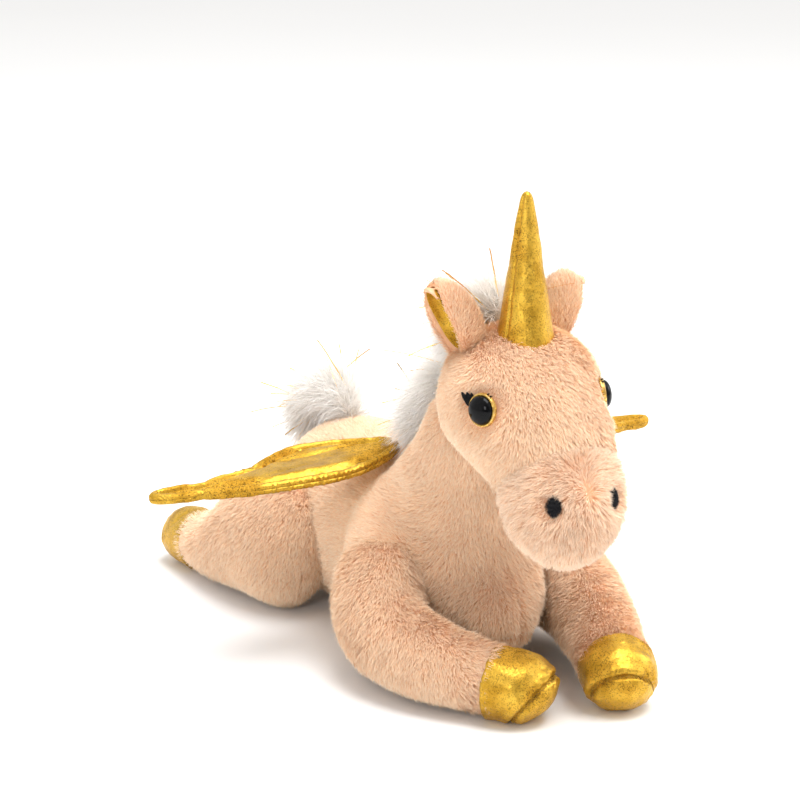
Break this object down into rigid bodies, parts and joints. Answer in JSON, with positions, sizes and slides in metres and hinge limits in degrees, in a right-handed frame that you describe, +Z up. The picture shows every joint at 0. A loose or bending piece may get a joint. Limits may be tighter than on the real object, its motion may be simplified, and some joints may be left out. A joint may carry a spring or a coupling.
{
  "type": "plush unicorn",
  "caption": "Stuffed winged unicorn lying on its belly, with metallic horn, hoofs, ears and wings, and sewn limbs that bend at their roots.",
  "frame": {"origin": "middle of the base of the whole animal's box, on the surface that it lies on", "axes": "+Z up, +Y towards the tail, +X towards the animal's left side; the animal faces -Y"},
  "size_m": [0.3076, 0.3464, 0.253],
  "materials": {
    "plush": "short peach pile, matt with a pale sheen",
    "plush_panel": "slightly longer and paler peach pile",
    "fibre": "loose white polyester fibre",
    "gold_lame": "foil-coated stretch cloth, crinkled, metallic gold",
    "iris_gold": "glossy gold",
    "eye_black": "polished black dome",
    "washer_plastic": "white moulded plastic",
    "lash_black": "black satin embroidery",
    "white_fur": "long white pile with metallic threads"
  },
  "bodies": {
    "torso": {"torso_coat": "plush", "belly_panel": "plush_panel", "torso_filling": "fibre", "mane_nape": "white_fur"},
    "head": {"head_coat": "plush", "muzzle_coat": "plush_panel", "head_filling": "fibre", "horn_cover": "gold_lame", "horn_filling": "fibre", "mane_crest": "white_fur", "eye_iris_right": "iris_gold", "eye_pupil_right": "eye_black", "eye_washer_right": "washer_plastic", "eyelash_right": "lash_black", "nostril_right": "lash_black", "eye_iris_left": "iris_gold", "eye_pupil_left": "eye_black", "eye_washer_left": "washer_plastic", "eyelash_left": "lash_black", "nostril_left": "lash_black"},
    "ear_right": {"ear_back_right": "plush", "ear_lining_right": "gold_lame"},
    "foreleg_right": {"foreleg_coat_right": "plush", "foreleg_filling_right": "fibre", "hoof_upper_foreleg_right": "gold_lame", "hoof_sole_foreleg_right": "gold_lame"},
    "hindleg_right": {"hindleg_coat_right": "plush", "hindleg_filling_right": "fibre", "hoof_upper_hindleg_right": "gold_lame", "hoof_sole_hindleg_right": "gold_lame"},
    "wing_right": {"wing_upper_panel_right": "gold_lame", "wing_lower_panel_right": "gold_lame", "wing_wadding_right": "fibre"},
    "ear_left": {"ear_back_left": "plush", "ear_lining_left": "gold_lame"},
    "foreleg_left": {"foreleg_coat_left": "plush", "foreleg_filling_left": "fibre", "hoof_upper_foreleg_left": "gold_lame", "hoof_sole_foreleg_left": "gold_lame"},
    "hindleg_left": {"hindleg_coat_left": "plush", "hindleg_filling_left": "fibre", "hoof_upper_hindleg_left": "gold_lame", "hoof_sole_hindleg_left": "gold_lame"},
    "wing_left": {"wing_upper_panel_left": "gold_lame", "wing_lower_panel_left": "gold_lame", "wing_wadding_left": "fibre"},
    "tail": {"tail_tuft": "white_fur"}
  },
  "joints": [
    {"name": "head_nod", "type": "hinge", "parent": "torso", "child": "head", "pos_m": [0, -0.0738, 0.132], "axis": [1, 0, 0], "range_deg": [-14, 10], "stiffness_Nm_per_rad": 1.6},
    {"name": "tail_swing", "type": "hinge", "parent": "torso", "child": "tail", "pos_m": [0, 0.0682, 0.096], "axis": [1, 0, 0], "range_deg": [-20, 20], "stiffness_Nm_per_rad": 0.08},
    {"name": "foreleg_swing_right", "type": "hinge", "parent": "torso", "child": "foreleg_right", "pos_m": [-0.042, -0.0358, 0.038], "axis": [0, 0, -1], "range_deg": [0, 20], "stiffness_Nm_per_rad": 0.5},
    {"name": "hindleg_swing_right", "type": "hinge", "parent": "torso", "child": "hindleg_right", "pos_m": [-0.044, 0.0702, 0.04], "axis": [0, 0, 1], "range_deg": [-4, 18], "stiffness_Nm_per_rad": 0.5},
    {"name": "wing_flap_right", "type": "hinge", "parent": "torso", "child": "wing_right", "pos_m": [-0.018, -0.0038, 0.105], "axis": [0, 1, 0], "range_deg": [-6, 55], "stiffness_Nm_per_rad": 0.15},
    {"name": "ear_bend_right", "type": "hinge", "parent": "head", "child": "ear_right", "pos_m": [-0.025, -0.0858, 0.176], "axis": [0, -1, 0], "range_deg": [-18, 18], "stiffness_Nm_per_rad": 0.06},
    {"name": "foreleg_swing_left", "type": "hinge", "parent": "torso", "child": "foreleg_left", "pos_m": [0.042, -0.0358, 0.038], "axis": [0, 0, 1], "range_deg": [0, 20], "stiffness_Nm_per_rad": 0.5},
    {"name": "hindleg_swing_left", "type": "hinge", "parent": "torso", "child": "hindleg_left", "pos_m": [0.044, 0.0702, 0.04], "axis": [0, 0, -1], "range_deg": [-4, 18], "stiffness_Nm_per_rad": 0.5},
    {"name": "wing_flap_left", "type": "hinge", "parent": "torso", "child": "wing_left", "pos_m": [0.018, -0.0038, 0.105], "axis": [0, -1, 0], "range_deg": [-6, 55], "stiffness_Nm_per_rad": 0.15},
    {"name": "ear_bend_left", "type": "hinge", "parent": "head", "child": "ear_left", "pos_m": [0.025, -0.0858, 0.176], "axis": [0, 1, 0], "range_deg": [-18, 18], "stiffness_Nm_per_rad": 0.06}
  ]
}
